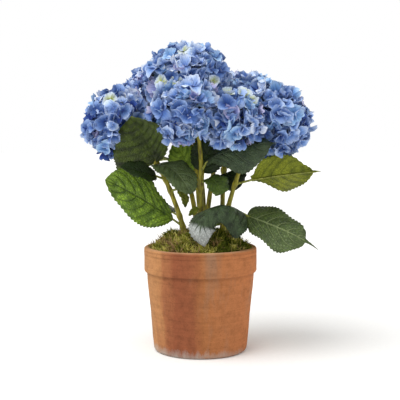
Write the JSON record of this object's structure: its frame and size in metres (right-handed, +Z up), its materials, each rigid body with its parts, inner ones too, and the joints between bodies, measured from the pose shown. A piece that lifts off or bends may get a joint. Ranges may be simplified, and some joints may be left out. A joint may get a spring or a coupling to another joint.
{
  "type": "artificial hydrangea in a terracotta pot",
  "caption": "Artificial hydrangea with round blue flower heads and toothed green leaves on slender stems, set in moss in a plain terracotta pot.",
  "frame": {"origin": "middle of the pot's flat underside", "axes": "+Z up along the pot's axis, -Y towards the side that the picture shows, +X to the right of it"},
  "size_m": [0.3487, 0.2677, 0.4534],
  "materials": {
    "terracotta": "matte, weathered",
    "soil": "matte, crumbly",
    "moss": "matte, tufted",
    "stem": "matte",
    "leaf": "satin",
    "petal": "soft, matte"
  },
  "bodies": {
    "root": {"bloom_back": "petal", "bloom_back_left": "petal", "bloom_back_right": "petal", "bloom_front_left": "petal", "bloom_front_right": "petal", "bloom_left": "petal", "bloom_right": "petal", "bloom_top": "petal", "leaf_back_far_left": "leaf", "leaf_back_far_right": "leaf", "leaf_back_left": "leaf", "leaf_back_low_left": "leaf", "leaf_back_low_middle": "leaf", "leaf_back_low_right": "leaf", "leaf_back_middle": "leaf", "leaf_back_right": "leaf", "leaf_left_cross": "leaf", "leaf_left_flat": "leaf", "leaf_left_high": "leaf", "leaf_left_low": "leaf", "leaf_left_small": "leaf", "leaf_low_front": "leaf", "leaf_low_right": "leaf", "leaf_middle_back": "leaf", "leaf_middle_hang": "leaf", "leaf_middle_high": "leaf", "leaf_middle_small": "leaf", "leaf_right_behind": "leaf", "leaf_right_far": "leaf", "leaf_right_high": "leaf", "moss": "moss", "pot": "terracotta", "soil": "soil", "stem_back": "stem", "stem_back_left": "stem", "stem_back_right": "stem", "stem_front_left": "stem", "stem_front_right": "stem", "stem_left": "stem", "stem_right": "stem", "stem_top": "stem"}
  },
  "joints": []
}
